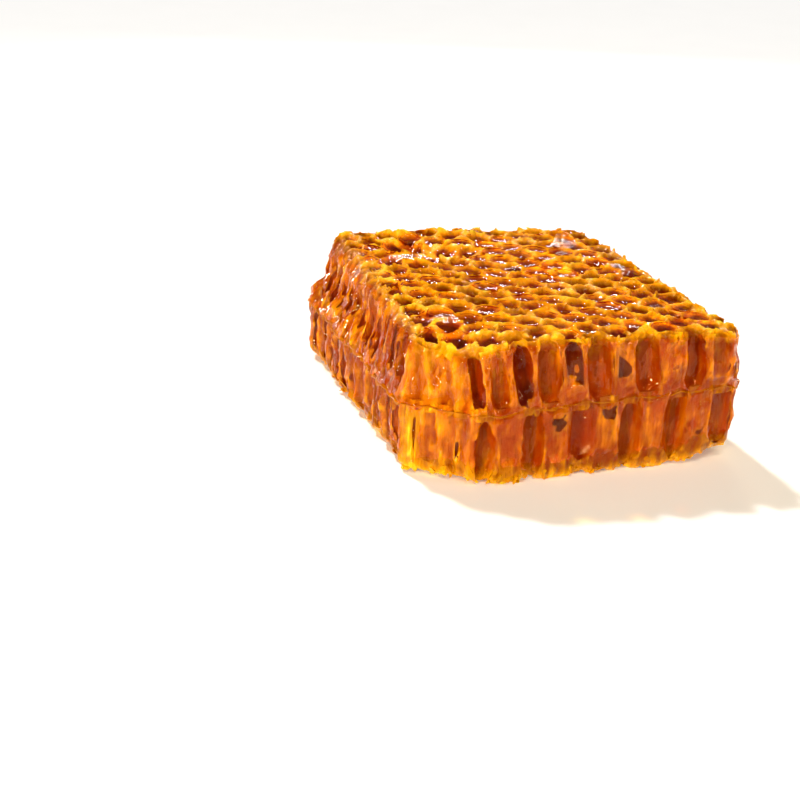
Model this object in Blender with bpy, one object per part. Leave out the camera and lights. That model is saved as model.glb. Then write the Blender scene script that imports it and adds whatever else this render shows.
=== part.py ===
"""A block cut from a frame of honeycomb, resting on one open face.

Natural comb is two layers of hexagonal wax cells, back to back on a thin wax
midrib. A knife has cut the block free on four sides, so whole cells open on
the top and underneath, and cells split lengthwise line the sides. The honey
that the cells hold stands a little below their rims and has run part of the
way out of the split ones, and it is modelled solid with the wax around it.

Metres, +Z up. The origin is at the middle of the block's footprint, on the
surface that it rests on. -Y is the longest clean cut, the block's front.
"""

import math

import bmesh
import bpy
from mathutils import Vector, noise

MM = 0.001

# The comb: every size of the cells follows from their pitch.
CELL_PITCH = 5.3 * MM  # between the axes of two neighbours, across the flats
WALL = 0.75 * MM  # two wax walls and the honey that clings to them
LATTICE_TURN = math.radians(37.5)  # one row of cells against the X axis
LATTICE_ORIGIN = (-0.2, -0.4)  # the middle of one cell above the midrib
LEAN_ABOVE = math.tan(math.radians(7.0))  # cells lean to -X away from the midrib
LEAN_BELOW = math.tan(math.radians(1.0))
STRAY = 0.45 * MM  # how far bees set a cell's corner off the regular place
STRAY_SPACING = 11 * MM
STRAY_SEED = 1795418490  # any whole number: without one, vector noise starts from the clock
EDGE = CELL_PITCH / math.sqrt(3)  # a cell's side, and its radius at the corners

# The block.
PLAN_REACH = 45 * MM  # a square that holds the whole plan, on each side of the origin
THICKNESS = 26.5 * MM
MIDRIB = 1.0 * MM
MIDRIB_HEIGHT = 13.3 * MM  # to its middle
GAP = 0.3 * MM  # kept between separate solids
MIDRIB_TOP = MIDRIB_HEIGHT + MIDRIB / 2
MIDRIB_FOOT = MIDRIB_HEIGHT - MIDRIB / 2

# The honey.
HONEY_BELOW_RIM = 1.7 * MM
DRAINED = 4.2 * MM  # its level in the cells that have run dry
RUN_OUT = 2.3 * MM  # how deep it has left a split cell
HELD_AT_MIDRIB = 1.1 * MM  # depth that stays on a split cell's base
SPLIT_REACH = 2.0 * MM  # a cell whose axis is this far outside the cut still opens on it
RIM_CLEARANCE = 2.0 * MM  # how far the tools that hollow the cells reach past their rims

# Corners of the cut, anticlockwise from the back left, at three heights. The
# left side slopes outwards to the midrib, and the front left corner is cut off.
CORNERS_TOP = [(-31.7, 36.6), (-25.6, -28.9), (-15.2, -35.0), (35.6, -32.2), (23.4, 37.2)]
CORNERS_MIDDLE = [(-37.0, 36.4), (-27.0, -28.4), (-14.7, -36.8), (37.2, -30.0), (26.4, 37.0)]
CORNERS_FOOT = [(-37.4, 35.0), (-26.8, -28.4), (-14.2, -37.6), (36.6, -30.0), (25.8, 35.6)]
CORNER_RADII = [3.5, 4.0, 5.0, 3.5, 3.5]
ARC_STEPS = 2
EDGE_STEP = 18 * MM
KNIFE_WOBBLE = 0.7 * MM
WOBBLE_SPACING = 13 * MM

# Where the faces aren't level: centre, reach along X and Y, turn, and height.
SCOOP = ((-13.0, 22.0), (13.5, 5.5), -25.0, -3.0)  # crushed cells at the back left
SAGGED_CORNER = ((-21.0, -35.0), (15.0, 12.0), 0.0, -2.6)
BACK_RIM = ((-9.0, 34.0), (16.0, 4.0), 0.0, 0.9)
LIFTED_FOOT = ((39.0, -33.0), (17.0, 14.0), 0.0, 3.4)

# Patches of cells, as centre and reach along X and Y: run dry, or filled to the rim.
DRAINED_ABOVE = [((13.5, -1.5), (4.6, 6.0)), ((-9.0, -10.5), (3.9, 3.9)), ((-0.6, -28.0), (2.4, 2.4))]
FLOODED_ABOVE = [
    ((16.5, 22.0), (4.5, 8.0)),
    ((-17.5, -22.0), (4.0, 6.0)),
    ((-18.5, 15.5), (5.5, 4.0)),
    ((-13.0, 22.5), (8.0, 4.0)),
]
FLOODED_BELOW = [((4.0, -8.0), (18.0, 13.5)), ((-9.0, 12.0), (14.0, 11.0))]
SWELL = 0.55 * MM
SWELL_SPACING = 21 * MM
MIDRIB_SWAY = 0.9 * MM
MIDRIB_TILT = 0.045  # it climbs towards +X by this share

WAX = ((0.86, 0.47, 0.03, 1.0), 0.35)
MIDRIB_WAX = ((0.80, 0.36, 0.02, 1.0), 0.30)


def clear_scene():
    for obj in list(bpy.data.objects):
        bpy.data.objects.remove(obj, do_unlink=True)


def material(name, look):
    """A plain finish of one colour and roughness."""
    made = bpy.data.materials.new(name)
    made.use_nodes = True
    shader = made.node_tree.nodes["Principled BSDF"]
    shader.inputs["Base Color"].default_value = look[0]
    shader.inputs["Roughness"].default_value = look[1]
    shader.inputs["Metallic"].default_value = 0.0
    return made


def between(a, b, share):
    return a + (b - a) * share


# ---- the cut outline -------------------------------------------------------


def rounded_corner(before, corner, after, radius):
    """Points of the arc that rounds a corner, from the edge before to the one after."""
    to_before = (before - corner).normalized()
    to_after = (after - corner).normalized()
    half = to_before.angle(to_after) / 2
    bisector = (to_before + to_after).normalized()
    centre = corner + bisector * (radius / math.sin(half))
    start = corner + to_before * (radius / math.tan(half)) - centre
    end = corner + to_after * (radius / math.tan(half)) - centre
    sweep = start.angle_signed(end)
    points = []
    for step in range(ARC_STEPS + 1):
        turn = -sweep * step / ARC_STEPS
        x = start.x * math.cos(turn) - start.y * math.sin(turn)
        y = start.x * math.sin(turn) + start.y * math.cos(turn)
        points.append(centre + Vector((x, y)))
    return points


def wobbled(points, height):
    """The outline pushed in and out as the knife wandered."""
    moved = []
    for index, point in enumerate(points):
        along = (points[(index + 1) % len(points)] - points[index - 1]).normalized()
        outward = Vector((along.y, -along.x))
        place = Vector((point.x, point.y, height)) / WOBBLE_SPACING
        moved.append(point + outward * (noise.noise(place) - 0.35) * KNIFE_WOBBLE)
    return moved


def outline(corners, height):
    """The cut at one height, anticlockwise. Each height has as many points."""
    corners = [Vector(corner) * MM for corner in corners]
    middle = [Vector(corner) * MM for corner in CORNERS_MIDDLE]
    count = len(corners)
    arcs = []
    for index, corner in enumerate(corners):
        before = corners[index - 1]
        after = corners[(index + 1) % count]
        arcs.append(rounded_corner(before, corner, after, CORNER_RADII[index] * MM))
    points = []
    for index, arc in enumerate(arcs):
        points += arc
        span = (middle[(index + 1) % count] - middle[index]).length
        steps = round(span / EDGE_STEP)
        following = arcs[(index + 1) % count][0]
        for step in range(1, steps):
            points.append(between(arc[-1], following, step / steps))
    return wobbled(points, height)


def shrunk(loop, inset):
    """The loop moved inwards by the inset."""
    moved = []
    for index, point in enumerate(loop):
        along = (loop[(index + 1) % len(loop)] - loop[index - 1]).normalized()
        moved.append(point + Vector((-along.y, along.x)) * inset)
    return moved


def is_inside(point, loop):
    """Whether a point lies inside a loop: a ray from it crosses the loop an odd number of times."""
    inside = False
    for index, start in enumerate(loop):
        end = loop[(index + 1) % len(loop)]
        if (start.y > point.y) != (end.y > point.y):
            share = (point.y - start.y) / (end.y - start.y)
            if point.x < start.x + share * (end.x - start.x):
                inside = not inside
    return inside


# ---- the cells -------------------------------------------------------------


def strayed(point):
    """A lattice corner moved to where the bees put it. Cells that share it move with it."""
    away = noise.noise_vector(Vector((point.x, point.y, 0.0)) / STRAY_SPACING)
    return point + Vector((away.x, away.y)) * STRAY


def cell_centres(offset):
    """Centres of a regular lattice of cells over a square of the plan."""
    row = Vector((math.cos(LATTICE_TURN), math.sin(LATTICE_TURN))) * CELL_PITCH
    slant = LATTICE_TURN + math.radians(60)
    column = Vector((math.cos(slant), math.sin(slant))) * CELL_PITCH
    count = math.ceil(2 * PLAN_REACH / CELL_PITCH)
    for i in range(-count, count + 1):
        for j in range(-count, count + 1):
            centre = Vector(LATTICE_ORIGIN) * MM + row * i + column * j + offset
            if max(abs(centre.x), abs(centre.y)) < PLAN_REACH:
                yield centre


def corner_direction(index):
    turn = LATTICE_TURN + math.radians(30 + 60 * index)
    return Vector((math.cos(turn), math.sin(turn)))


def cell_mouth(centre, wall):
    """The six corners of the hollow between a cell's walls, anticlockwise."""
    corners = [strayed(centre + corner_direction(k) * EDGE) for k in range(6)]
    middle = sum(corners, Vector((0.0, 0.0))) / 6
    shrink = 1 - wall / CELL_PITCH
    return [between(middle, corner, shrink) for corner in corners]


def lean(height):
    """How far a cell's axis has shifted at a height."""
    rise = height - MIDRIB_HEIGHT
    return Vector((-rise * LEAN_ABOVE if rise > 0 else rise * LEAN_BELOW, 0.0))


# ---- solids ----------------------------------------------------------------


def add_loft(mesh, rings):
    """A closed solid through rings of equally many points, given bottom first."""
    rows = [[mesh.verts.new(point) for point in ring] for ring in rings]
    count = len(rows[0])
    mesh.faces.new(list(reversed(rows[0])))
    mesh.faces.new(rows[-1])
    for lower, upper in zip(rows, rows[1:]):
        for k in range(count):
            after = (k + 1) % count
            mesh.faces.new((lower[k], lower[after], upper[after], upper[k]))


def at_height(loop, height):
    return [Vector((point.x, point.y, height)) for point in loop]


def mesh_object(name, mesh):
    bmesh.ops.recalc_face_normals(mesh, faces=mesh.faces)
    data = bpy.data.meshes.new(name)
    mesh.to_mesh(data)
    mesh.free()
    obj = bpy.data.objects.new(name, data)
    bpy.context.scene.collection.objects.link(obj)
    return obj


def helper(obj):
    """Marks a cutter, which isn't part of the comb."""
    obj.hide_render = True
    obj.display_type = "WIRE"
    return obj


def hollows(name, centres, heights, wall):
    """The insides of these cells between two heights."""
    mesh = bmesh.new()
    for centre in centres:
        mouth = cell_mouth(centre, wall)
        add_loft(mesh, [at_height([p + lean(h) for p in mouth], h) for h in heights])
    return helper(mesh_object(name, mesh))


def slab(name, cut_at, heights, inset=0.0):
    """The space inside the cut between the first and the last height."""
    mesh = bmesh.new()
    add_loft(mesh, [at_height(shrunk(cut_at(h), inset), h) for h in heights])
    return mesh_object(name, mesh)


def combine(obj, operation, other):
    step = obj.modifiers.new(other.name, "BOOLEAN")
    step.operation = operation
    step.solver = "EXACT"
    step.object = other


# ---- the block's uneven faces ----------------------------------------------


def hump(point, spec):
    """Height that a smooth round hump or hollow adds at a point of the plan."""
    (x, y), (reach_x, reach_y), turn, height = spec
    away = point - Vector((x, y)) * MM
    turn = math.radians(turn)
    along = away.x * math.cos(turn) + away.y * math.sin(turn)
    across = away.y * math.cos(turn) - away.x * math.sin(turn)
    distance = math.hypot(along / (reach_x * MM), across / (reach_y * MM))
    if distance >= 1:
        return 0.0
    return height * MM * (1 - distance**2) ** 2


def settled(point):
    """A point of the square-built comb moved to where it lies in the real, uneven block."""
    plan = Vector((point.x, point.y))
    height = point.z
    sway = MIDRIB_SWAY * noise.noise(Vector((plan.x, plan.y, 0.05)) / SWELL_SPACING)
    sway += MIDRIB_TILT * plan.x
    if height >= MIDRIB_HEIGHT:
        share = (height - MIDRIB_HEIGHT) / (THICKNESS - MIDRIB_HEIGHT)
        swell = noise.noise(Vector((plan.x, plan.y, 0.3)) / SWELL_SPACING)
        rise = (swell - 0.5) * SWELL
        rise += hump(plan, SCOOP) + hump(plan, SAGGED_CORNER) + hump(plan, BACK_RIM)
    else:
        share = 1 - height / MIDRIB_HEIGHT
        rise = hump(plan, LIFTED_FOOT)
    rise = rise * share + sway * (1 - share)
    return Vector((point.x, point.y, height + rise))


def fill_sealed_hollows(mesh):
    """Deletes every closed shell but the outer one: a cell that the knife missed keeps its honey."""
    shells = []
    unseen = set(mesh.verts)
    while unseen:
        shell = {unseen.pop()}
        front = list(shell)
        while front:
            for edge in front.pop().link_edges:
                for vertex in set(edge.verts) & unseen:
                    unseen.remove(vertex)
                    shell.add(vertex)
                    front.append(vertex)
        shells.append(shell)
    shells.sort(key=len)
    for shell in shells[:-1]:
        bmesh.ops.delete(mesh, geom=list(shell), context="VERTS")


def finish(obj, look):
    """Applies the cuts, settles every point and gives the solid its wax."""
    graph = bpy.context.evaluated_depsgraph_get()
    data = bpy.data.meshes.new_from_object(obj.evaluated_get(graph))
    obj.modifiers.clear()
    obj.data = data
    mesh = bmesh.new()
    mesh.from_mesh(data)
    fill_sealed_hollows(mesh)
    bmesh.ops.dissolve_limit(mesh, angle_limit=0.001, verts=mesh.verts, edges=mesh.edges)
    bmesh.ops.triangulate(mesh, faces=mesh.faces)
    for vertex in mesh.verts:
        vertex.co = settled(vertex.co)
    mesh.to_mesh(data)
    mesh.free()
    data.materials.clear()
    data.materials.append(look)
    return obj


# ---- the three pieces of the comb ------------------------------------------


def in_a_patch(place, patches):
    for (x, y), (reach_x, reach_y) in patches:
        if math.hypot((place.x / MM - x) / reach_x, (place.y / MM - y) / reach_y) < 1:
            return True
    return False


def upper_cut(height):
    share = (height - MIDRIB_HEIGHT) / (THICKNESS - MIDRIB_HEIGHT)
    share = math.sin(share * math.pi / 2)
    corners = [
        between(Vector(m), Vector(t), share) for m, t in zip(CORNERS_MIDDLE, CORNERS_TOP)
    ]
    return outline(corners, height)


def lower_cut(height):
    share = 1 - height / MIDRIB_HEIGHT
    share = 1 - math.cos(share * math.pi / 2)
    corners = [
        between(Vector(m), Vector(f), share) for m, f in zip(CORNERS_MIDDLE, CORNERS_FOOT)
    ]
    return outline(corners, height)


def cells_in(cut_at, offset, heights):
    """Centres of the cells whose axis is inside the cut, or close to it, at some height."""
    loops = [(lean(h), shrunk(cut_at(h), -SPLIT_REACH)) for h in heights]
    for centre in cell_centres(offset):
        if any(is_inside(centre + shift, loop) for shift, loop in loops):
            yield centre


def layer(name, cut_at, offset, base, rim, drained, flooded):
    """One side of the comb: wax walls that stand on the midrib, and the honey between them."""
    outward = math.copysign(1.0, rim - base)
    beyond = rim + outward * RIM_CLEARANCE
    centres = list(cells_in(cut_at, offset, (base, rim)))
    centres = [c for c in centres if not in_a_patch(c + lean(rim), flooded)]

    level = rim - outward * HONEY_BELOW_RIM
    held = sorted((base + outward * HELD_AT_MIDRIB / 2, level))
    honey = helper(slab(name + "_honey", cut_at, held, RUN_OUT))
    dry = [c for c in centres if in_a_patch(c + lean(rim), drained)]
    if dry:
        heights = sorted((rim - outward * DRAINED, beyond))
        combine(honey, "DIFFERENCE", hollows(name + "_drained", dry, heights, WALL / 2))

    walls = slab(name, cut_at, sorted((base, rim)))
    heights = sorted((base + outward * HELD_AT_MIDRIB, beyond))
    combine(walls, "DIFFERENCE", hollows(name + "_hollows", centres, heights, WALL))
    combine(walls, "UNION", honey)
    return walls


def upper_cells(look):
    at = (upper_cut, Vector((0.0, 0.0)), MIDRIB_TOP + GAP, THICKNESS)
    return finish(layer("upper_cells", *at, DRAINED_ABOVE, FLOODED_ABOVE), look)


def lower_cells(look):
    at = (lower_cut, corner_direction(0) * EDGE, MIDRIB_FOOT - GAP, 0.0)
    return finish(layer("lower_cells", *at, [], FLOODED_BELOW), look)


def midrib(look):
    mesh = bmesh.new()
    loop = outline(CORNERS_MIDDLE, MIDRIB_HEIGHT)
    add_loft(mesh, [at_height(loop, h) for h in (MIDRIB_FOOT, MIDRIB_TOP)])
    return finish(mesh_object("midrib", mesh), look)


def main():
    clear_scene()
    noise.seed_set(STRAY_SEED)
    wax = material("comb_wax", WAX)
    thin_wax = material("midrib_wax", MIDRIB_WAX)
    upper_cells(wax)
    lower_cells(wax)
    midrib(thin_wax)


if __name__ == "__main__":
    main()
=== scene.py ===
# %% [markdown]
# # A block of cut comb honey
# A frame of honeycomb cut with a knife into a small block: two layers of wax
# cells, back to back on one sheet of wax, and full of honey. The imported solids
# give its size, its cut sides and the place of every cell. This notebook dresses
# them with thin wax walls on the same lattice, and with clear honey.


import math

import bpy
import numpy as np
from mathutils import Euler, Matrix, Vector, noise


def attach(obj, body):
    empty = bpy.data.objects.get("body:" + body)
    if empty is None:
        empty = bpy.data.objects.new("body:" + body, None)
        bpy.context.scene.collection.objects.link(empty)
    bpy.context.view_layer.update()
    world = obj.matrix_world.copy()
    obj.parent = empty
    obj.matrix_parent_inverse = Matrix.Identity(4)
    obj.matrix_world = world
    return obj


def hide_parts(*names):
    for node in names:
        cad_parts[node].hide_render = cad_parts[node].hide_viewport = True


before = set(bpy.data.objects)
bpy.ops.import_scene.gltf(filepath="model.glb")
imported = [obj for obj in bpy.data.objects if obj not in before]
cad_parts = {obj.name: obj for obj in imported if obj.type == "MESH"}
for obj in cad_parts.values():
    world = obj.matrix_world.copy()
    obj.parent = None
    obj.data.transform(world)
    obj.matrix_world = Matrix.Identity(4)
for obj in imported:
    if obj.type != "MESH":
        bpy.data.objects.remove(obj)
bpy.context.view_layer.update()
MM = 0.001
print("packed nodes:", sorted(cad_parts))


# %% [markdown]
# ## Camera
# The block is seen from a little above, over its front left corner, through a
# long lens that keeps its sides nearly parallel. The standard view is chosen
# because a filmic one would grey the strong yellows of wax.


# %% Place the camera
CAMERA_PLACE = (-65.9, -252.5, 107.7)
CAMERA_TURN = (67.5, -1.85, -9.23)  # degrees
LENS = 63.0

camera = bpy.data.objects.new("camera", bpy.data.cameras.new("camera"))
bpy.context.scene.collection.objects.link(camera)
camera.data.lens = LENS
camera.location = Vector(CAMERA_PLACE) * MM
camera.rotation_euler = Euler([math.radians(turn) for turn in CAMERA_TURN])
bpy.context.scene.camera = camera
bpy.context.scene.view_settings.view_transform = "Standard"
print("camera", round(camera.location.length, 3), "m from the middle of the footprint")


# %% [markdown]
# ## Colours and shader nodes
# Every material below is a small tree of nodes. Nodes could be added and linked
# one call at a time, but a tree then takes pages. One helper adds a node, sets
# its options and fills or links its inputs, and another turns the hex colours
# that painters use into the linear numbers that shaders take.


# %% Helpers for colours and nodes
def linear(hex_colour):
    """A colour written as sRGB hex, as the linear numbers that shaders take."""
    parts = [int(hex_colour[i : i + 2], 16) / 255 for i in (1, 3, 5)]
    parts = [c / 12.92 if c <= 0.04045 else ((c + 0.055) / 1.055) ** 2.4 for c in parts]
    return (*parts, 1.0)


def add_node(tree, kind, inputs=None, **settings):
    """Adds a node, sets its options, and fills or links its inputs."""
    node = tree.nodes.new(kind)
    for name, value in settings.items():
        setattr(node, name, value)
    for name, value in (inputs or {}).items():
        if isinstance(value, bpy.types.NodeSocket):
            tree.links.new(value, node.inputs[name])
        else:
            node.inputs[name].default_value = value
    return node


def new_material(name):
    """An empty node tree with only its output, and that output."""
    made = bpy.data.materials.new(name)
    made.use_nodes = True
    made.node_tree.nodes.clear()
    output = made.node_tree.nodes.new("ShaderNodeOutputMaterial")
    return made, made.node_tree, output


print("honey yellow, linear:", [round(part, 3) for part in linear("#FAE900")])


# %% [markdown]
# ## Floor
# The block stands on a sheet of matt white card. A plane would do, but card has
# a faint cloudiness, so its tone wanders a little between two whites.


# %% A sheet of white card
FLOOR_SIDE = 6.0  # metres
CARD_GLOW = 0.15  # so that the card stays white far from the lamps


def mesh_object(name, points, faces):
    data = bpy.data.meshes.new(name)
    data.from_pydata([tuple(p) for p in points], [], [tuple(f) for f in faces])
    obj = bpy.data.objects.new(name, data)
    bpy.context.scene.collection.objects.link(obj)
    return obj


def white_card():
    """Pressed paper pulp: matt, with the faint clouds of its fibres."""
    card, tree, output = new_material("matt_white_card")
    place = add_node(tree, "ShaderNodeTexCoord")
    fibres = add_node(
        tree, "ShaderNodeTexNoise", {"Vector": place.outputs["Object"], "Scale": 40.0, "Detail": 2.0}
    )
    tone = add_node(tree, "ShaderNodeMix", {"Factor": fibres.outputs["Fac"]}, data_type="RGBA")
    tone.inputs["A"].default_value = linear("#F4F3F1")
    tone.inputs["B"].default_value = linear("#FAF9F7")
    shader = add_node(
        tree,
        "ShaderNodeBsdfPrincipled",
        {
            "Base Color": tone.outputs["Result"],
            "Roughness": 0.9,
            "Specular IOR Level": 0.1,
            "Emission Color": linear("#FFFFFF"),
            "Emission Strength": CARD_GLOW,
        },
    )
    tree.links.new(shader.outputs["BSDF"], output.inputs["Surface"])
    return card


half = FLOOR_SIDE / 2
corners = [(-half, -half, 0), (half, -half, 0), (half, half, 0), (-half, half, 0)]
floor = mesh_object("floor", corners, [(0, 1, 2, 3)])
floor.data.materials.append(white_card())
print("floor", FLOOR_SIDE, "m square")


# %% [markdown]
# ## Light
# Honey glows when light comes through it from behind, and sparkles when small
# bright windows stand round it. A big dome of light would veil it with a grey
# sheen, so the room itself is kept dim and only looks bright as a backdrop. One
# high window behind lights the floor, and small softboxes make the sparkle.


# %% The room and its high window
ROOM_COLOUR = "#FFF8EE"
ROOM_STRENGTH = 0.12
BACKDROP_STRENGTH = 0.95
WINDOW_PLACE = (-0.35, 0.75, 1.0)  # only its direction counts
WINDOW_STRENGTH = 3.0
WINDOW_SPREAD = 5.0  # degrees


def dim_room():
    """Weak light from all round, behind a backdrop that looks as pale as the floor."""
    world = bpy.data.worlds.new("studio_room")
    bpy.context.scene.world = world
    world.use_nodes = True
    tree = world.node_tree
    tree.nodes.clear()
    colour = linear(ROOM_COLOUR)
    room = add_node(tree, "ShaderNodeBackground", {"Color": colour, "Strength": ROOM_STRENGTH})
    backdrop = add_node(
        tree, "ShaderNodeBackground", {"Color": linear("#FFFFFF"), "Strength": BACKDROP_STRENGTH}
    )
    path = add_node(tree, "ShaderNodeLightPath")
    mix = add_node(
        tree,
        "ShaderNodeMixShader",
        {
            0: path.outputs["Is Camera Ray"],
            1: room.outputs["Background"],
            2: backdrop.outputs["Background"],
        },
    )
    output = add_node(tree, "ShaderNodeOutputWorld")
    tree.links.new(mix.outputs["Shader"], output.inputs["Surface"])


def high_window():
    """Even light over the whole floor, from one direction."""
    light = bpy.data.lights.new("high_window", "SUN")
    light.energy = WINDOW_STRENGTH
    light.angle = math.radians(WINDOW_SPREAD)
    lamp = bpy.data.objects.new("high_window", light)
    bpy.context.scene.collection.objects.link(lamp)
    lamp.rotation_euler = Vector(WINDOW_PLACE).to_track_quat("Z", "Y").to_euler()


dim_room()
high_window()
print("room", ROOM_STRENGTH, "and window", WINDOW_STRENGTH)


# %% Softboxes
LAMP_COLOUR = "#FFEFD2"
# Each one's name, place and size in millimetres, and power in watts.
SOFTBOXES = [
    ("front_left_softbox", (-330, -310, 90), (40, 70), 1.5),
    ("front_softbox", (120, -420, 35), (60, 14), 0.25),
    ("back_left_softbox", (-230, 415, 45), (60, 24), 0.4),
    ("overhead_softbox", (40, -200, 360), (130, 90), 0.55),
    ("back_softbox", (96, 430, 150), (150, 12), 0.5),
    ("right_softbox", (420, -160, 150), (60, 160), 0.5),
]
BLOCK_MIDDLE = (0, 0, 13)


def softbox(name, place, size, watts):
    """A rectangular lamp that faces the middle of the block."""
    light = bpy.data.lights.new(name, "AREA")
    light.color = linear(LAMP_COLOUR)[:3]
    light.shape = "RECTANGLE"
    light.size, light.size_y = size[0] * MM, size[1] * MM
    light.energy = watts
    lamp = bpy.data.objects.new(name, light)
    bpy.context.scene.collection.objects.link(lamp)
    lamp.location = Vector(place) * MM
    away = lamp.location - Vector(BLOCK_MIDDLE) * MM
    lamp.rotation_euler = away.to_track_quat("Z", "Y").to_euler()


for name, place, size, watts in SOFTBOXES:
    softbox(name, place, size, watts)
print(len(SOFTBOXES), "softboxes,", sum(watts for *_, watts in SOFTBOXES), "W in all")


# %% [markdown]
# ## Comb wax
# Beeswax is laid down in flakes and kneaded by the bees, so it is waxy, faintly
# grainy and lets some light in. Where it is thin and dry it is pale yellow, and
# where honey has soaked it, deep amber. One colour would look like plastic. So
# each point carries a number, "fresh_and_lit", which also holds painted shade deep
# in the cells and painted light on the sides that the lamps catch, and the grain
# shifts it a little, before a ramp of five ambers turns it into a colour. A faint
# red-brown glow is painted in as well, for light scattered inside the wax.


# %% The grain of comb wax
# Tones of wax, from soaked with honey and in painted shade to thin, dry and in painted light.
WAX_TONES = [
    (0.0, "#8A3400"),
    (0.25, "#A05600"),
    (0.5, "#C87E00"),
    (0.75, "#F0A000"),
    (1.0, "#FFCC20"),
]


def wax_grain(tree):
    """Height of the wax's surface: 2 mm lumps, and 0.9 and 0.4 mm strokes drawn down by the blade.

    A real stroke is a tenth of this width, too fine to show, so it is drawn coarser.
    """
    place = add_node(tree, "ShaderNodeTexCoord").outputs["Object"]
    lumps = add_node(tree, "ShaderNodeTexNoise", {"Vector": place, "Scale": 500.0, "Detail": 3.0})
    drawn = add_node(tree, "ShaderNodeMapping", {"Vector": place, "Scale": (1.0, 1.0, 0.16)})
    along = drawn.outputs["Vector"]
    strokes = add_node(tree, "ShaderNodeTexNoise", {"Vector": along, "Scale": 1100.0, "Detail": 2.0})
    hairlines = add_node(tree, "ShaderNodeTexNoise", {"Vector": along, "Scale": 2600.0, "Detail": 1.0})
    both = add_node(
        tree,
        "ShaderNodeMath",
        {0: hairlines.outputs["Fac"], 1: 0.8, 2: strokes.outputs["Fac"]},
        operation="MULTIPLY_ADD",
    )
    level = add_node(tree, "ShaderNodeMath", {0: lumps.outputs["Fac"], 1: 0.2}, operation="SUBTRACT")
    height = add_node(
        tree,
        "ShaderNodeMath",
        {0: both.outputs[0], 1: 0.5, 2: level.outputs[0]},
        operation="MULTIPLY_ADD",
    )
    return height.outputs[0]


print(len(WAX_TONES), "tones of wax")


# %% Comb wax
def comb_wax(name):
    """Beeswax, kneaded by bees and cut by a blade: glossy where honey wets it, duller where paler, with a
    faint painted glow.
    """
    made, tree, output = new_material(name)
    height = wax_grain(tree)
    # The wax's own tone, together with painted shade deep in the cells and painted light on lit sides.
    fresh_and_lit = add_node(tree, "ShaderNodeAttribute", attribute_name="fresh_and_lit").outputs["Fac"]
    paler = add_node(tree, "ShaderNodeMath", {0: fresh_and_lit, 1: 0.32}, operation="SUBTRACT")
    tone = add_node(
        tree, "ShaderNodeMath", {0: height, 1: 0.4, 2: paler.outputs[0]}, operation="MULTIPLY_ADD"
    )
    ramp = add_node(tree, "ShaderNodeValToRGB", {"Fac": tone.outputs[0]})
    stops = ramp.color_ramp.elements
    while len(stops) < len(WAX_TONES):
        stops.new(0.5)
    for stop, (share, colour) in zip(stops, WAX_TONES):
        stop.position, stop.color = share, linear(colour)
    bump = add_node(tree, "ShaderNodeBump", {"Height": height, "Strength": 0.9, "Distance": 0.0007})
    dullness = add_node(tree, "ShaderNodeMapRange", {"Value": fresh_and_lit, "To Min": 0.07, "To Max": 0.11})
    shader = add_node(
        tree,
        "ShaderNodeBsdfPrincipled",
        {
            "Base Color": ramp.outputs["Color"],
            "Roughness": dullness.outputs["Result"],
            "IOR": 1.44,
            "Specular Tint": linear("#FFCB8C"),
            "Specular IOR Level": 0.4,
            "Normal": bump.outputs["Normal"],
            "Subsurface Weight": 0.3,
            "Subsurface Radius": (1.0, 0.4, 0.05),
            "Subsurface Scale": 0.001,
            # A faint red-brown glow: painted light that stands for light scattered through wax and honey, so
            # that deep walls are not black.
            "Emission Color": linear("#7A1400"),
            "Emission Strength": 0.08,
        },
    )
    tree.links.new(shader.outputs["BSDF"], output.inputs["Surface"])
    return made


wax_look = comb_wax("comb_wax")
midrib_look = comb_wax("midrib_wax")
print("wax materials:", wax_look.name, midrib_look.name)


# %% [markdown]
# ## Clear honey
# Honey is a thick sugar syrup: clear, very smooth, and bent by its own weight
# into ripples. It takes blue out of light first and then green, so a film of it
# is yellow and a deep pool is red brown. Painting that on would fail from other
# sides, so the body is glass round an absorbing volume. A glass body would block
# the lamps, so it is made clear to shadow rays, and a faint glow stands for the
# light that scatters many times inside it.


# %% Clear honey
def honey_ripples(tree):
    """Height of the honey's surface: 1.3 mm ripples, longer downwards, and 0.5 mm drawn threads."""
    place = add_node(tree, "ShaderNodeTexCoord").outputs["Object"]
    hanging = add_node(tree, "ShaderNodeMapping", {"Vector": place, "Scale": (1.0, 1.0, 0.45)})
    ripples = add_node(
        tree, "ShaderNodeTexNoise", {"Vector": hanging.outputs["Vector"], "Scale": 800.0, "Detail": 1.0}
    )
    drawn = add_node(tree, "ShaderNodeMapping", {"Vector": place, "Scale": (1.0, 1.0, 0.15)})
    threads = add_node(
        tree, "ShaderNodeTexNoise", {"Vector": drawn.outputs["Vector"], "Scale": 1900.0, "Detail": 1.0}
    )
    height = add_node(
        tree,
        "ShaderNodeMath",
        {0: threads.outputs["Fac"], 1: 0.35, 2: ripples.outputs["Fac"]},
        operation="MULTIPLY_ADD",
    )
    return height.outputs[0]


def honey_glow(tree):
    """Light scattered inside the honey: clouds of 2 mm, from deep red to orange."""
    place = add_node(tree, "ShaderNodeTexCoord").outputs["Object"]
    hanging = add_node(tree, "ShaderNodeMapping", {"Vector": place, "Scale": (1.0, 1.0, 0.45)})
    clouds = add_node(
        tree, "ShaderNodeTexNoise", {"Vector": hanging.outputs["Vector"], "Scale": 500.0, "Detail": 2.0}
    )
    glow = add_node(tree, "ShaderNodeValToRGB", {"Fac": clouds.outputs["Fac"]})
    low, high = glow.color_ramp.elements
    low.position, low.color = 0.35, linear("#780600")
    high.position, high.color = 0.7, linear("#FF5A00")
    return glow.outputs["Color"]


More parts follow.
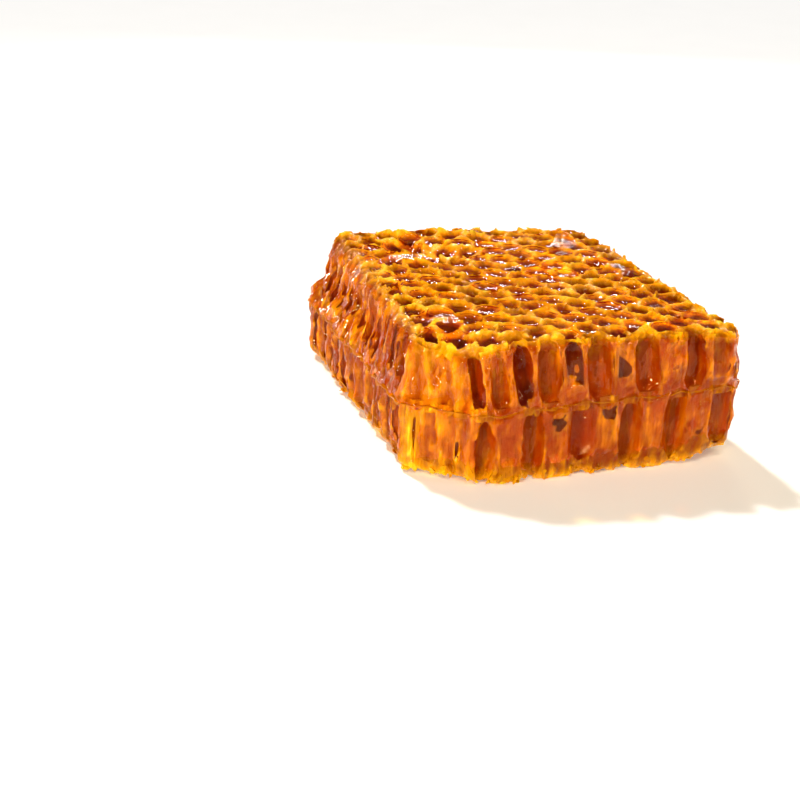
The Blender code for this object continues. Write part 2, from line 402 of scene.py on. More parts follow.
def clear_honey():
    """Sugar syrup, poured by its own weight: wet, clear and deep amber."""
    made, tree, output = new_material("clear_honey")
    bump = add_node(
        tree, "ShaderNodeBump", {"Height": honey_ripples(tree), "Strength": 0.7, "Distance": 0.0006}
    )
    glass = add_node(
        tree,
        "ShaderNodeBsdfPrincipled",
        {
            "Base Color": linear("#FFFFFF"),
            "Roughness": 0.03,
            "IOR": 1.48,
            "Specular IOR Level": 0.3,
            "Normal": bump.outputs["Normal"],
            "Transmission Weight": 1.0,
            "Specular Tint": linear("#FFC08A"),
            "Emission Color": honey_glow(tree),
            "Emission Strength": 0.13,
        },
    )
    clear = add_node(tree, "ShaderNodeBsdfTransparent", {"Color": linear("#FFFFFF")})
    path = add_node(tree, "ShaderNodeLightPath")
    mix = add_node(
        tree,
        "ShaderNodeMixShader",
        {0: path.outputs["Is Shadow Ray"], 1: glass.outputs["BSDF"], 2: clear.outputs["BSDF"]},
    )
    amber = add_node(tree, "ShaderNodeVolumeAbsorption", {"Color": linear("#FAE900"), "Density": 2700.0})
    tree.links.new(mix.outputs["Shader"], output.inputs["Surface"])
    tree.links.new(amber.outputs["Volume"], output.inputs["Volume"])
    return made


honey_look = clear_honey()
print("honey material:", honey_look.name)


# %% [markdown]
# ## The comb's sizes
# Bees build from both sides of one thin wall of wax, the midrib. Almost every
# size of the comb follows from the pitch of its cells: the side of a hexagon is
# the pitch over the root of three, and the three rhombs that close a cell rise
# by a fixed share of it. These are the numbers that the solids were made from,
# so the wax falls where the frame has it. They are in millimetres.


# %% The lattice
PITCH = 5.3
LATTICE_TURN = math.radians(37.5)
LATTICE_ORIGIN = np.array((-0.2, -0.4))
EDGE = PITCH / math.sqrt(3)
APOTHEM = PITCH / 2
LEAN = {"upper": math.tan(math.radians(7.0)), "lower": math.tan(math.radians(1.0))}

THICKNESS = 26.5
MIDRIB_HEIGHT = 13.3
KEEL = EDGE / (2 * math.sqrt(2))  # rise of the three rhombs that close a cell
DEPTH = {"upper": THICKNESS - MIDRIB_HEIGHT, "lower": MIDRIB_HEIGHT}
OUTWARD = {"upper": 1.0, "lower": -1.0}
print("cells", PITCH, "mm across, with sides of", round(EDGE, 2), "mm")


# %% The block
# Corners of the cut at its top, at its middle and at its foot.
CORNERS_TOP = [(-31.7, 36.6), (-25.6, -28.9), (-15.2, -35.0), (35.6, -32.2), (23.4, 37.2)]
CORNERS_MIDDLE = [(-37.0, 36.4), (-27.0, -28.4), (-14.7, -36.8), (37.2, -30.0), (26.4, 37.0)]
CORNERS_FOOT = [(-37.4, 35.0), (-26.8, -28.4), (-14.2, -37.6), (36.6, -30.0), (25.8, 35.6)]
CORNER_RADII = [3.5, 4.0, 5.0, 3.5, 3.5]
KNIFE_WOBBLE = 0.7
WOBBLE_SPACING = 13.0

# Humps and hollows: middle, reach along and across, turn in degrees, and height.
SCOOP = ((-13.0, 22.0), (13.5, 5.5), -25.0, -3.0)
SAGGED_CORNER = ((-21.0, -35.0), (15.0, 12.0), 0.0, -2.6)
BACK_RIM = ((-9.0, 34.0), (16.0, 4.0), 0.0, 0.9)
LIFTED_FOOT = ((39.0, -33.0), (17.0, 14.0), 0.0, 3.4)
SWELL = 0.55
SWELL_SPACING = 21.0
MIDRIB_SWAY = 0.9
MIDRIB_TILT = 0.045
print("block", THICKNESS, "mm thick with", len(CORNERS_MIDDLE), "corners")


# %% [markdown]
# ## Nothing in a comb is quite even
# Bees set each cell a little astray, and soft wax settles. Smooth noise bends
# things without tearing them, and it gives the same answer at the same point on
# every run. So the comb is built square first, and these functions then say how
# far each point of it strays, leans and sinks.


# %% Smooth noise and the stray of the cells
STRAY = 0.45
STRAY_SPACING = 11.0
STRAY_SEED = 1795418490  # the solids' own, without which the walls would miss them

noise.seed_set(STRAY_SEED)


def noise_at(points, spacing, shift=0.0):
    """Smooth noise, about -1 to 1, at each point."""
    places = np.asarray(points) / spacing + shift
    return np.array([noise.noise(Vector(p)) for p in places])


def in_plan(plan, height):
    """Plan points given a height, one for all or one for each."""
    return np.column_stack([plan, np.zeros(len(plan)) + height])


def stray(plan):
    """How far bees set each point of the lattice off the regular place."""
    places = in_plan(plan, 0.0) / STRAY_SPACING
    return np.array([noise.noise_vector(Vector(p))[:2] for p in places]) * STRAY


def lean_at(height):
    """How far a cell's axis has shifted along X at each height."""
    rise = height - MIDRIB_HEIGHT
    return np.where(rise > 0, -rise * LEAN["upper"], rise * LEAN["lower"])


def ramp_of(values, start, end):
    return np.clip((values - start) / (end - start), 0, 1)


print("stray at the middle:", stray(np.zeros((1, 2)))[0].round(2), "mm")


# %% Humps, hollows and how the block settled
def hump(plan, spec):
    """Height that a smooth round hump or hollow adds at each point of the plan."""
    middle, reach, turn, height = spec
    away = plan - np.array(middle)
    turn = math.radians(turn)
    along = away[:, 0] * math.cos(turn) + away[:, 1] * math.sin(turn)
    across = away[:, 1] * math.cos(turn) - away[:, 0] * math.sin(turn)
    distance = np.hypot(along / reach[0], across / reach[1])
    return height * np.clip(1 - distance**2, 0, None) ** 2


def settled(points):
    """Points of the square-built comb moved to where they lie in the uneven block."""
    plan, height = points[:, :2], points[:, 2]
    sway = MIDRIB_SWAY * noise_at(in_plan(plan, 0.05 / MM), SWELL_SPACING)
    sway += MIDRIB_TILT * plan[:, 0]
    swell = noise_at(in_plan(plan, 0.3 / MM), SWELL_SPACING)
    top_rise = (swell - 0.5) * SWELL
    top_rise += hump(plan, SCOOP) + hump(plan, SAGGED_CORNER) + hump(plan, BACK_RIM)
    foot_rise = hump(plan, LIFTED_FOOT)
    above = height >= MIDRIB_HEIGHT
    share = np.where(above, (height - MIDRIB_HEIGHT) / DEPTH["upper"], 1 - height / DEPTH["lower"])
    rise = np.where(above, top_rise, foot_rise) * share + sway * (1 - share)
    return np.column_stack([plan, height + rise])


highest = settled(np.array([(-9.0, 34.0, THICKNESS)]))[0, 2]
print("the back rim stands", round(float(highest), 1), "mm high")


# %% [markdown]
# ## The knife's cut
# The block was cut with five strokes of a knife, and its corners are rounded by
# the blade's turn. The cut is kept as a grid of points: columns round the block
# and rows up it. A grid is handy, because the torn walls, the dragged wax and
# the honey's skin can all be that same grid moved in or out.


# %% One rounded corner
ARC_STEPS = 8


def rounded_corner(before, corner, after, radius):
    """Points of the arc that rounds a corner, from the edge before to the one after."""
    to_before = (before - corner).normalized()
    to_after = (after - corner).normalized()
    half = to_before.angle(to_after) / 2
    centre = corner + (to_before + to_after).normalized() * (radius / math.sin(half))
    start = corner + to_before * (radius / math.tan(half)) - centre
    end = corner + to_after * (radius / math.tan(half)) - centre
    sweep = -start.angle_signed(end)
    turns = [sweep * step / ARC_STEPS for step in range(ARC_STEPS + 1)]
    points = []
    for turn in turns:
        x = start.x * math.cos(turn) - start.y * math.sin(turn)
        y = start.x * math.sin(turn) + start.y * math.cos(turn)
        points.append(centre + Vector((x, y)))
    return points


def outward_normals(loop):
    along = np.roll(loop, -1, axis=0) - np.roll(loop, 1, axis=0)
    along /= np.linalg.norm(along, axis=1, keepdims=True)
    return np.column_stack([along[:, 1], -along[:, 0]])


print("a corner takes", ARC_STEPS + 1, "points")


# %% The cut at each height
COLUMN_STEP = [0.41, 0.43, 0.44, 0.53, 0.53]  # finer on the sides with fine strokes
ROW_STEP = 0.66


def outline(height):
    """The cut at one height, anticlockwise. Each height has as many points."""
    if height >= MIDRIB_HEIGHT:
        share = math.sin((height - MIDRIB_HEIGHT) / DEPTH["upper"] * math.pi / 2)
        ends = CORNERS_TOP
    else:
        share = 1 - math.cos((1 - height / MIDRIB_HEIGHT) * math.pi / 2)
        ends = CORNERS_FOOT
    middles = [Vector(corner) for corner in CORNERS_MIDDLE]
    corners = [m.lerp(Vector(e), share) for m, e in zip(middles, ends)]
    count = len(corners)
    arcs = [
        rounded_corner(corners[k - 1], corners[k], corners[(k + 1) % count], CORNER_RADII[k])
        for k in range(count)
    ]
    points = []
    for k, arc in enumerate(arcs):
        points += arc
        following = arcs[(k + 1) % count][0]
        steps = round((middles[(k + 1) % count] - middles[k]).length / COLUMN_STEP[k])
        points += [arc[-1].lerp(following, step / steps) for step in range(1, steps)]
    loop = np.array([tuple(p) for p in points])
    wobble = (noise_at(in_plan(loop, height), WOBBLE_SPACING) - 0.35) * KNIFE_WOBBLE
    return loop + outward_normals(loop) * wobble[:, None]


def cut_rows(low, high):
    """Heights, and for each one the cut's outline and its outward normals."""
    heights = np.linspace(low, high, round((high - low) / ROW_STEP) + 1)
    loops = np.array([outline(min(max(h, 0.0), THICKNESS)) for h in heights])
    normals = np.array([outward_normals(loop) for loop in loops])
    return heights, loops, normals


print("columns round the cut:", len(outline(MIDRIB_HEIGHT)))


# %% A closed block through rows of points
def block_of(name, heights, loops):
    """A closed solid through rows of equally many points, the lowest first."""
    rows, columns = loops.shape[:2]
    points = np.concatenate([in_plan(loop, h) for loop, h in zip(loops, heights)])
    faces = [list(range(columns))[::-1], list(range((rows - 1) * columns, rows * columns))]
    for row in range(rows - 1):
        for k in range(columns):
            after = (k + 1) % columns
            low, high = row * columns, (row + 1) * columns
            faces.append((low + k, low + after, high + after, high + k))
    return mesh_object(name, points * MM, faces)


print("rows up the whole cut:", len(cut_rows(0.0, THICKNESS)[0]))


# %% [markdown]
# ## One cell
# A wax cell is a hexagonal tube with a thick, rounded lip and a pointed base of
# three rhombs. Its section is given as a list of rings, from the crest that it
# shares with its neighbours down to its base, so a change of shape is a change
# of one number. Honey fills it up to a surface that curls up the walls.


# %% Sections of the wax and of the honey
# Each ring: inset from the shared edge, roundness from hexagon to circle, and depth below the rim.
WAX_LIP = [
    (0.0, 0.0, 0.0),
    (0.16, 0.1, 0.08),
    (0.42, 0.35, 0.42),
    (0.8, 0.65, 0.95),
    (1.05, 0.85, 1.5),
    (0.7, 0.75, 2.4),
]
WAX_WALL = [(0.3, 0.45, 3.0), (0.2, 0.2, 8.0)]
WAX_FOOT = [(0.26, 0.3, 0.9), (0.9, 0.3, 0.45)]  # these depths are above the base instead
WAX_BASE = 0.35
HONEY_SKIN = [
    (0.0, 0.0, 0.9),
    (0.34, 0.5, -0.5),
    (0.55, 0.6, -0.3),
    (0.85, 0.7, -0.12),
    (1.3, 0.8, -0.02),
    (1.9, 0.9, 0.0),
]
HONEY_BELOW_RIM = 0.75
FINE, PLAIN = 5, 4  # points on each side of a cell
print("a wall is", 2 * WAX_WALL[-1][0], "mm thick")


# %% Rings of a cell
def corner_direction(index):
    turn = LATTICE_TURN + math.radians(30 + 60 * index)
    return np.array((math.cos(turn), math.sin(turn)))


def hexagon(steps):
    """Points round a cell's edge, and for each one its side and how far along it lies."""
    sides = [(k, step / steps) for k in range(6) for step in range(steps)]
    points = [corner_direction(k) * (1 - share) + corner_direction(k + 1) * share for k, share in sides]
    return np.array(points) * EDGE, sides


def base_heights(points, steps, side):
    """Height of a cell's rhombic base above the midrib's middle, at points of the cell."""
    edge, sides = hexagon(steps)
    reach = np.linalg.norm(points, axis=1) / np.linalg.norm(edge, axis=1)
    high_corner = 0 if side == "upper" else 1
    at_corner = [KEEL if k % 2 == high_corner else 0.0 for k in range(7)]
    at_edge = np.array([at_corner[k] * (1 - share) + at_corner[k + 1] * share for k, share in sides])
    return -KEEL * (1 - reach) + at_edge * reach


def ring(inset, roundness, steps):
    edge, _ = hexagon(steps)
    away = edge / np.linalg.norm(edge, axis=1, keepdims=True)
    straight = edge * (1 - inset / APOTHEM)
    return straight * (1 - roundness) + away * (APOTHEM - inset) * roundness


print("a fine ring has", len(ring(0.2, 0.2, FINE)), "points")


# %% One closed cell
def add_attribute(mesh, name, kind, domain, values):
    attribute = mesh.attributes.new(name, kind, domain)
    field = "vector" if kind == "FLOAT_VECTOR" else "value"
    attribute.data.foreach_set(field, np.ascontiguousarray(values, np.float32).ravel())


def cell_faces(count, rows):
    """Faces of the tube and its underside, and apart from them those shared with neighbours."""
    centre = rows * count
    under, under_centre = centre + 1, centre + 1 + count
    faces, shared = [], []
    for k in range(count):
        after = (k + 1) % count
        for start in range(0, centre - count, count):
            faces.append((start + k, start + after, start + count + after, start + count + k))
        last = centre - count
        faces.append((last + k, last + after, centre))
        faces.append((under + after, under + k, under_centre))
        shared.append((under + k, under + after, after, k))
    return faces, shared


def cell_shape(name, side, steps, tops, foots, base, sole):
    """One closed cell: rings from the shared crest down to its base, and its underside."""
    outward, depth = OUTWARD[side], DEPTH[side]
    count = 6 * steps
    loops = []
    for inset, roundness, below in tops:
        loops.append((ring(inset, roundness, steps), np.full(count, depth - below)))
    for inset, roundness, above in foots:
        flat = ring(inset, roundness, steps)
        loops.append((flat, base_heights(flat, steps, side) + base + above))
    faces, shared = cell_faces(count, len(loops))
    middle = -KEEL + base if foots else depth - tops[-1][2]
    edge, _ = hexagon(steps)
    loops.append((np.zeros((1, 2)), np.array([middle])))
    loops.append((edge, base_heights(edge, steps, side) + sole))
    loops.append((np.zeros((1, 2)), np.array([-KEEL + sole])))
    points = np.concatenate([in_plan(flat, MIDRIB_HEIGHT + outward * heights) for flat, heights in loops])
    faces += shared
    if outward < 0:
        faces = [face[::-1] for face in faces]
    obj = mesh_object(name, points * MM, faces)
    rings = np.concatenate([np.full(len(flat), index) for index, (flat, _) in enumerate(loops)])
    add_attribute(obj.data, "ring", "FLOAT", "POINT", rings)
    add_attribute(obj.data, "outer_face", "FLOAT", "FACE", np.arange(len(faces)) >= len(faces) - len(shared))
    return obj


print("faces of a honey cell:", len(cell_faces(6 * PLAIN, len(HONEY_SKIN))[0]))


# %% [markdown]
# ## Laying out the lattice
# The comb repeats one cell some four hundred times, so it is made by Geometry
# Nodes: a grid of points, every second row shifted by half a pitch, with a copy
# of the cell at each. A loop of copied objects would do as well, but the tree
# welds neighbours along the wall that they share and drops what is left inside,
# so that the wax is one closed body.


# %% Staggered points
ROWS = 23
COLUMNS = 19


def add_input(tree, name, kind, value=None):
    socket = tree.interface.new_socket(name=name, in_out="INPUT", socket_type=kind)
    if value is not None:
        socket.default_value = value
    return socket


def staggered_points(tree, given):
    """Points at the middles of the cells, where every second row is shifted by half a pitch."""
    pitch = given["Pitch"]
    spacing = add_node(tree, "ShaderNodeMath", {0: pitch, 1: math.sqrt(3) / 2}, operation="MULTIPLY")
    across = add_node(tree, "ShaderNodeMath", {0: given["Columns"], 1: 1.0}, operation="SUBTRACT")
    up = add_node(tree, "ShaderNodeMath", {0: given["Rows"], 1: 1.0}, operation="SUBTRACT")
    width = add_node(tree, "ShaderNodeMath", {0: across.outputs[0], 1: pitch}, operation="MULTIPLY")
    height = add_node(tree, "ShaderNodeMath", {0: up.outputs[0], 1: spacing.outputs[0]}, operation="MULTIPLY")
    grid = add_node(
        tree,
        "GeometryNodeMeshGrid",
        {
            "Size X": width.outputs[0],
            "Size Y": height.outputs[0],
            "Vertices X": given["Columns"],
            "Vertices Y": given["Rows"],
        },
    )
    place = add_node(tree, "GeometryNodeInputPosition")
    parts = add_node(tree, "ShaderNodeSeparateXYZ", {"Vector": place.outputs["Position"]})
    rows_up = add_node(
        tree, "ShaderNodeMath", {0: parts.outputs["Y"], 1: spacing.outputs[0]}, operation="DIVIDE"
    )
    row = add_node(tree, "ShaderNodeMath", {0: rows_up.outputs[0]}, operation="ROUND")
    odd = add_node(tree, "ShaderNodeMath", {0: row.outputs[0], 1: 2.0}, operation="FLOORED_MODULO")
    half = add_node(tree, "ShaderNodeMath", {0: pitch, 1: 0.5}, operation="MULTIPLY")
    shift = add_node(tree, "ShaderNodeMath", {0: odd.outputs[0], 1: half.outputs[0]}, operation="MULTIPLY")
    offset = add_node(tree, "ShaderNodeCombineXYZ", {"X": shift.outputs[0]})
    staggered = add_node(
        tree,
        "GeometryNodeSetPosition",
        {"Geometry": grid.outputs["Mesh"], "Offset": offset.outputs["Vector"]},
    )
    turn = add_node(tree, "ShaderNodeCombineXYZ", {"Z": given["Turn"]})
    placed = add_node(
        tree,
        "GeometryNodeTransform",
        {
            "Geometry": staggered.outputs["Geometry"],
            "Translation": given["Origin"],
            "Rotation": turn.outputs["Vector"],
        },
    )
    return placed.outputs["Geometry"]


print("points of a whole lattice:", ROWS * COLUMNS)


# %% Copies of the cell, welded
WELD = 0.02  # mm
CROWDED = 2.4  # a face between two cells has three or four faces at each of its edges


def copied_cells(tree, given, spots):
    """A real copy of the cell at every spot, and each point's own centre kept as an attribute."""
    cell = add_node(tree, "GeometryNodeObjectInfo", {"Object": given["Cell"]})
    copies = add_node(
        tree, "GeometryNodeInstanceOnPoints", {"Points": spots, "Instance": cell.outputs["Geometry"]}
    )
    centre = add_node(tree, "GeometryNodeInputPosition")
    marked = add_node(
        tree,
        "GeometryNodeStoreNamedAttribute",
        {"Geometry": copies.outputs["Instances"], "Name": "centre", "Value": centre.outputs["Position"]},
        data_type="FLOAT_VECTOR",
        domain="INSTANCE",
    )
    real = add_node(tree, "GeometryNodeRealizeInstances", {"Geometry": marked.outputs["Geometry"]})
    return real.outputs["Geometry"]


def welded_shell(tree, cells):
    """Neighbours merged, and without the faces that two of them share."""
    welded = add_node(tree, "GeometryNodeMergeByDistance", {"Geometry": cells, "Distance": WELD * MM})
    outer = add_node(tree, "GeometryNodeInputNamedAttribute", {"Name": "outer_face"}, data_type="FLOAT")
    around = add_node(tree, "GeometryNodeInputMeshEdgeNeighbors")
    crowded = add_node(
        tree,
        "GeometryNodeFieldOnDomain",
        {"Value": around.outputs["Face Count"]},
        data_type="FLOAT",
        domain="FACE",
    )
    crowd = add_node(
        tree, "ShaderNodeMath", {0: crowded.outputs["Value"], 1: CROWDED}, operation="GREATER_THAN"
    )
    is_outer = add_node(
        tree, "ShaderNodeMath", {0: outer.outputs["Attribute"], 1: 0.5}, operation="GREATER_THAN"
    )
    between = add_node(
        tree, "ShaderNodeMath", {0: crowd.outputs[0], 1: is_outer.outputs[0]}, operation="MULTIPLY"
    )
    shell = add_node(
        tree,
        "GeometryNodeDeleteGeometry",
        {"Geometry": welded.outputs["Geometry"], "Selection": between.outputs[0]},
        domain="FACE",
        mode="ALL",
    )
    return shell.outputs["Geometry"]


print("points closer than", WELD, "mm are welded")


# %% The lattice's tree
def new_tree(name):
    """An empty tree that takes and gives a geometry."""
    tree = bpy.data.node_groups.new(name, "GeometryNodeTree")
    tree.interface.new_socket(name="Geometry", in_out="INPUT", socket_type="NodeSocketGeometry")
    tree.interface.new_socket(name="Geometry", in_out="OUTPUT", socket_type="NodeSocketGeometry")
    return tree


def end_tree(tree, geometry, look):
    """Gives the geometry its material, and passes it out of the tree."""
    finished = add_node(tree, "GeometryNodeSetMaterial", {"Geometry": geometry, "Material": look})
    result = add_node(tree, "NodeGroupOutput")
    tree.links.new(finished.outputs["Geometry"], result.inputs["Geometry"])


def lattice_tree():
    """One cell, repeated over the whole lattice as one body."""
    tree = new_tree("comb lattice")
    add_input(tree, "Cell", "NodeSocketObject")
    add_input(tree, "Pitch", "NodeSocketFloat", PITCH * MM)
    add_input(tree, "Columns", "NodeSocketInt", COLUMNS)
    add_input(tree, "Rows", "NodeSocketInt", ROWS)
    add_input(tree, "Turn", "NodeSocketFloat", LATTICE_TURN)
    add_input(tree, "Origin", "NodeSocketVector")
    add_input(tree, "Wax", "NodeSocketMaterial")
    given = add_node(tree, "NodeGroupInput").outputs
    cells = copied_cells(tree, given, staggered_points(tree, given))
    end_tree(tree, welded_shell(tree, cells), given["Wax"])
    return tree


comb_lattice = lattice_tree()
print("the lattice's tree has", len(comb_lattice.nodes), "nodes")


# %% Growing a mesh from a tree
def grown(name, tree, values):
    """Runs a tree on an empty object and keeps what it makes as a plain mesh."""
    base = mesh_object(name + "_seed", [], [])
    step = base.modifiers.new("grow", "NODES")
    step.node_group = tree
    for item in tree.interface.items_tree:
        if item.in_out == "INPUT" and item.name in values:
            step[item.identifier] = values[item.name]
    graph = bpy.context.evaluated_depsgraph_get()
    data = bpy.data.meshes.new_from_object(base.evaluated_get(graph))
    bpy.data.objects.remove(base)
    obj = bpy.data.objects.new(name, data)
    bpy.context.scene.collection.objects.link(obj)
    return obj


print("trees ready to grow:", [tree.name for tree in bpy.data.node_groups])


# %% Reading and moving a mesh's points
def points_of(mesh):
    values = np.empty(len(mesh.vertices) * 3, np.float32)
    mesh.vertices.foreach_get("co", values)
    return values.reshape(-1, 3).astype(float) / MM


def set_points(mesh, points):
    mesh.vertices.foreach_set("co", (points * MM).astype(np.float32).ravel())
    mesh.update()


def attribute_of(mesh, name, width=1):
    attribute = mesh.attributes[name]
    values = np.empty(len(attribute.data) * width, np.float32)
    attribute.data.foreach_get("vector" if width == 3 else "value", values)
    return values.reshape(-1, width).astype(float) if width > 1 else values.astype(float)


print("the floor's points, in mm:", points_of(floor.data)[:, 0])


# %% A lattice of cells
def lattice_offset(side):
    offset = corner_direction(0) * EDGE if side == "lower" else np.zeros(2)
    return LATTICE_ORIGIN + offset


def lattice_of(name, side, cell, look):
    origin = lattice_offset(side) * MM
    values = {
        "Cell": cell,
        "Pitch": PITCH * MM,
        "Columns": COLUMNS,
        "Rows": ROWS,
        "Turn": LATTICE_TURN,
        "Origin": (origin[0], origin[1], 0.0),
        "Wax": look,
    }
    obj = grown(name, comb_lattice, values)
    bpy.data.objects.remove(cell)
    print(name, "lattice:", len(obj.data.vertices), "points,", len(obj.data.polygons), "faces")
    return obj


print("the lower cells are offset by", (lattice_offset("lower") - lattice_offset("upper")).round(2), "mm")


# %% [markdown]
# ## Cutting and joining
# The even lattice is bent first and cut to the block afterwards. A Boolean could
# run as a modifier on each piece, but here it is applied at once, so that the
# next step can read and move the points that it made. The manifold solver is
# quick and keeps closed bodies closed.


# %% Booleans and smooth shading
def combine(obj, operation, other, look):
    """Intersects, joins or subtracts another closed mesh, and deletes it."""
    step = obj.modifiers.new("combine", "BOOLEAN")
    step.operation = operation
    step.solver = "MANIFOLD"
    step.object = other
    graph = bpy.context.evaluated_depsgraph_get()
    data = bpy.data.meshes.new_from_object(obj.evaluated_get(graph))
    obj.modifiers.clear()
    obj.data = data
    data.materials.clear()
    data.materials.append(look)
    data.polygons.foreach_set("material_index", np.zeros(len(data.polygons), np.int32))
    bpy.data.objects.remove(other)
    print(obj.name, operation.lower(), len(data.vertices), "points,", len(data.polygons), "faces")


def smooth(mesh, sharp_degrees):
    mesh.polygons.foreach_set("use_smooth", np.ones(len(mesh.polygons), bool))
    mesh.set_sharp_from_angle(angle=math.radians(sharp_degrees))


print("meshes so far:", len(bpy.data.meshes))


# %% [markdown]
# ## Which cell is here?
# To tear the wax as a knife does, each point of the cut has to know its cell and
# how far it is from the nearest wall. The comb could be searched for its walls,
# but a lattice is a rule, so the lean and the stray are taken away again and the
# rule is asked.


# %% The cell at a point
ROW_AXIS = np.array((math.cos(LATTICE_TURN), math.sin(LATTICE_TURN)))
SLANT = LATTICE_TURN + math.radians(60)
SLANT_AXIS = np.array((math.cos(SLANT), math.sin(SLANT)))


def nearest_cell(plan, heights, side):
    """The centre of each point's cell in the regular lattice, and the point's place in it."""
    flat = plan - np.column_stack([lean_at(heights), np.zeros(len(plan))])
    flat = flat - stray(flat)
    axes = np.column_stack([ROW_AXIS, SLANT_AXIS]) * PITCH
    steps = np.linalg.solve(axes, (flat - lattice_offset(side)).T).T
    best, best_distance = None, None
    for di in (-1, 0, 1):
        for dj in (-1, 0, 1):
            index = np.round(steps) + (di, dj)
            centre = lattice_offset(side) + (index[:, :1] * ROW_AXIS + index[:, 1:] * SLANT_AXIS) * PITCH
            distance = np.linalg.norm(flat - centre, axis=1)
            if best is None:
                best, best_distance = centre, distance
            closer = distance < best_distance
            best = np.where(closer[:, None], centre, best)
            best_distance = np.where(closer, distance, best_distance)
    return best, flat - best


def to_wall(local):
    """How far inside its hexagon each point is."""
    turns = [LATTICE_TURN + math.radians(60 * k) for k in range(3)]
    spans = [np.abs(local[:, 0] * math.cos(t) + local[:, 1] * math.sin(t)) for t in turns]
    return APOTHEM - np.max(spans, axis=0)


def cell_noise(centres, seed):
    """One value, about -1 to 1, for each cell."""
    return noise_at(in_plan(centres, seed * 7.3), 1.37) * 1.8


middle_cell, _ = nearest_cell(np.zeros((1, 2)), np.array([MIDRIB_HEIGHT]), "upper")
print("the middle cell is at", middle_cell[0].round(2))


# %% [markdown]
# ## The split sides
# A blade drags soft wax across the cells that it splits. Each one then shows
# only through a torn window with an arched top, and shreds hang in it. The left
# side was scraped into slanting strokes, and the cut-off corner was smeared shut.
# Every point of the cut gets two numbers from noise and from its place in its
# cell: how much wax is left over it, and how deep that wax lies.


# %% How much room there is behind the cut
ROOM_STEPS = (0.5, 1.0, 1.5, 2.0, 2.5, 3.2)


def room_behind(at, centres, facing, side):
    """How far in from the cut each point's cell goes on, up to the deepest step."""
    room = np.full(len(at), ROOM_STEPS[-1])
    for step in ROOM_STEPS[::-1]:
        inside, _ = nearest_cell(at[:, :2] - facing * step, at[:, 2], side)
        left_cell = np.linalg.norm(inside - centres, axis=1) > 0.1
        room = np.where(left_cell, step, room)
    return room


print("looked for walls down to", ROOM_STEPS[-1], "mm")


# %% How the knife left the cells that it split
# Height of the window's middle and its half height, as shares of the cell's depth, and least wax in mm.
COVER = {"upper": (0.5, 0.6, 0.3), "lower": (0.42, 0.5, 0.35)}
DRAG_SPACING = 1.3


def split_side(side):
    """The cut's rows, how deep its wax lies, and how much of it is left over each point."""
    low, high = (MIDRIB_HEIGHT - 1.0, THICKNESS) if side == "upper" else (0.0, MIDRIB_HEIGHT + 1.0)
    heights, loops, normals = cut_rows(low, high)
    shape = loops.shape[:2]
    at = np.concatenate([in_plan(loop, height) for loop, height in zip(loops, heights)])
    centres, local = nearest_cell(at[:, :2], at[:, 2], side)
    off_wall = to_wall(local)
    share = np.clip(np.abs(at[:, 2] - MIDRIB_HEIGHT) / DEPTH[side], 0, 1)
    facing = normals.reshape(-1, 2)
    on_left, on_right = ramp_of(-facing[:, 0], 0.3, 0.6), ramp_of(facing[:, 0], 0.6, 0.9)
    on_facet = on_left * ramp_of(-facing[:, 1], 0.4, 0.7)
    drag = noise_at(at * (1, 1, 0.11), DRAG_SPACING, 61.0) + noise_at(at * (1, 1, 0.11), 0.7, 67.0) * 0.6
    ragged = noise_at(at, 1.1, 69.0)
    tears = noise_at(at, 3.5, 63.0)
    own = cell_noise(centres, 5.0)
    middle, half, least = COVER[side]
    closing = np.abs((share - middle - own * 0.14) / half) ** 3
    left = least + 1.9 * closing + own * 0.4 + tears * 0.8 + ragged * 0.35
    left += on_left * (0.8 + 1.2 * drag) + on_right * 0.7 + on_facet * 2.5
    cover = np.maximum(left, 0.25) - off_wall
    torn_rim = np.exp(-(((cover - 0.3) / 0.35) ** 2))
    between = 0.5 - 0.5 * np.cos(np.pi * np.clip((off_wall - 0.1) / 2.1, 0, 1))
    depth = 0.15 + 0.8 * between + drag * 0.14 + tears * 0.2 + on_left * (0.4 + 0.7 * drag)
    depth += 0.9 * ramp_of(share, 0.88, 1.0) ** 2 + on_left * 1.6 * ramp_of(share, 0.75, 1.0) ** 2
    depth += on_facet * noise_at(at, 2.6, 77.0) * 0.5 - torn_rim * 0.3
    creases = np.clip(1 - np.abs(noise_at(at * (1, 1, 0.4), 2.3, 79.0)) / 0.13, 0, 1)
    depth -= creases * 0.3
    split = {"share": share, "cover": cover, "depth": depth, "own": own, "between": between, "at": at}
    split["creases"] = creases
    split["room"] = room_behind(at, centres, facing, side)
    return heights, loops, normals, {name: values.reshape(*shape, -1) for name, values in split.items()}


split_sides = {side: split_side(side) for side in ("upper", "lower")}
for side in split_sides:
    covered = np.mean(split_sides[side][3]["cover"] > 0)
    print(side, "cut covered with dragged wax:", round(float(covered), 2))


# %% [markdown]
# ## Dented rims
# Bees finish each cell with a thick bead of wax, and this block has been cut,
# lifted and scraped. So the beads are swollen unevenly, pushed about and in
# places crushed flat. Sculpting would do it by hand. Here humps say where the
# comb was pressed, and noise at three sizes says how.


# %% Where the rims were crushed
CRUSHED = [
    ((-13.0, 22.0), (20.0, 11.0), -25.0, 1.1),
    ((-25.0, -6.0), (9.0, 38.0), 0.0, 0.9),
    ((6.0, -33.0), (44.0, 6.5), 0.0, 0.5),
    ((-19.0, -26.0), (15.0, 14.0), 0.0, 1.0),
    ((30.0, -20.0), (8.0, 16.0), 0.0, 0.5),
    ((-9.0, 34.0), (24.0, 8.0), 0.0, 0.9),
    ((12.0, 6.0), (9.0, 7.0), 0.0, 0.7),
]


def drift(points, spacing, shift):
    """A smooth direction and size for each point, each part about -1 to 1."""
    places = np.asarray(points) / spacing + shift
    return np.array([noise.noise_vector(Vector(p)) for p in places])


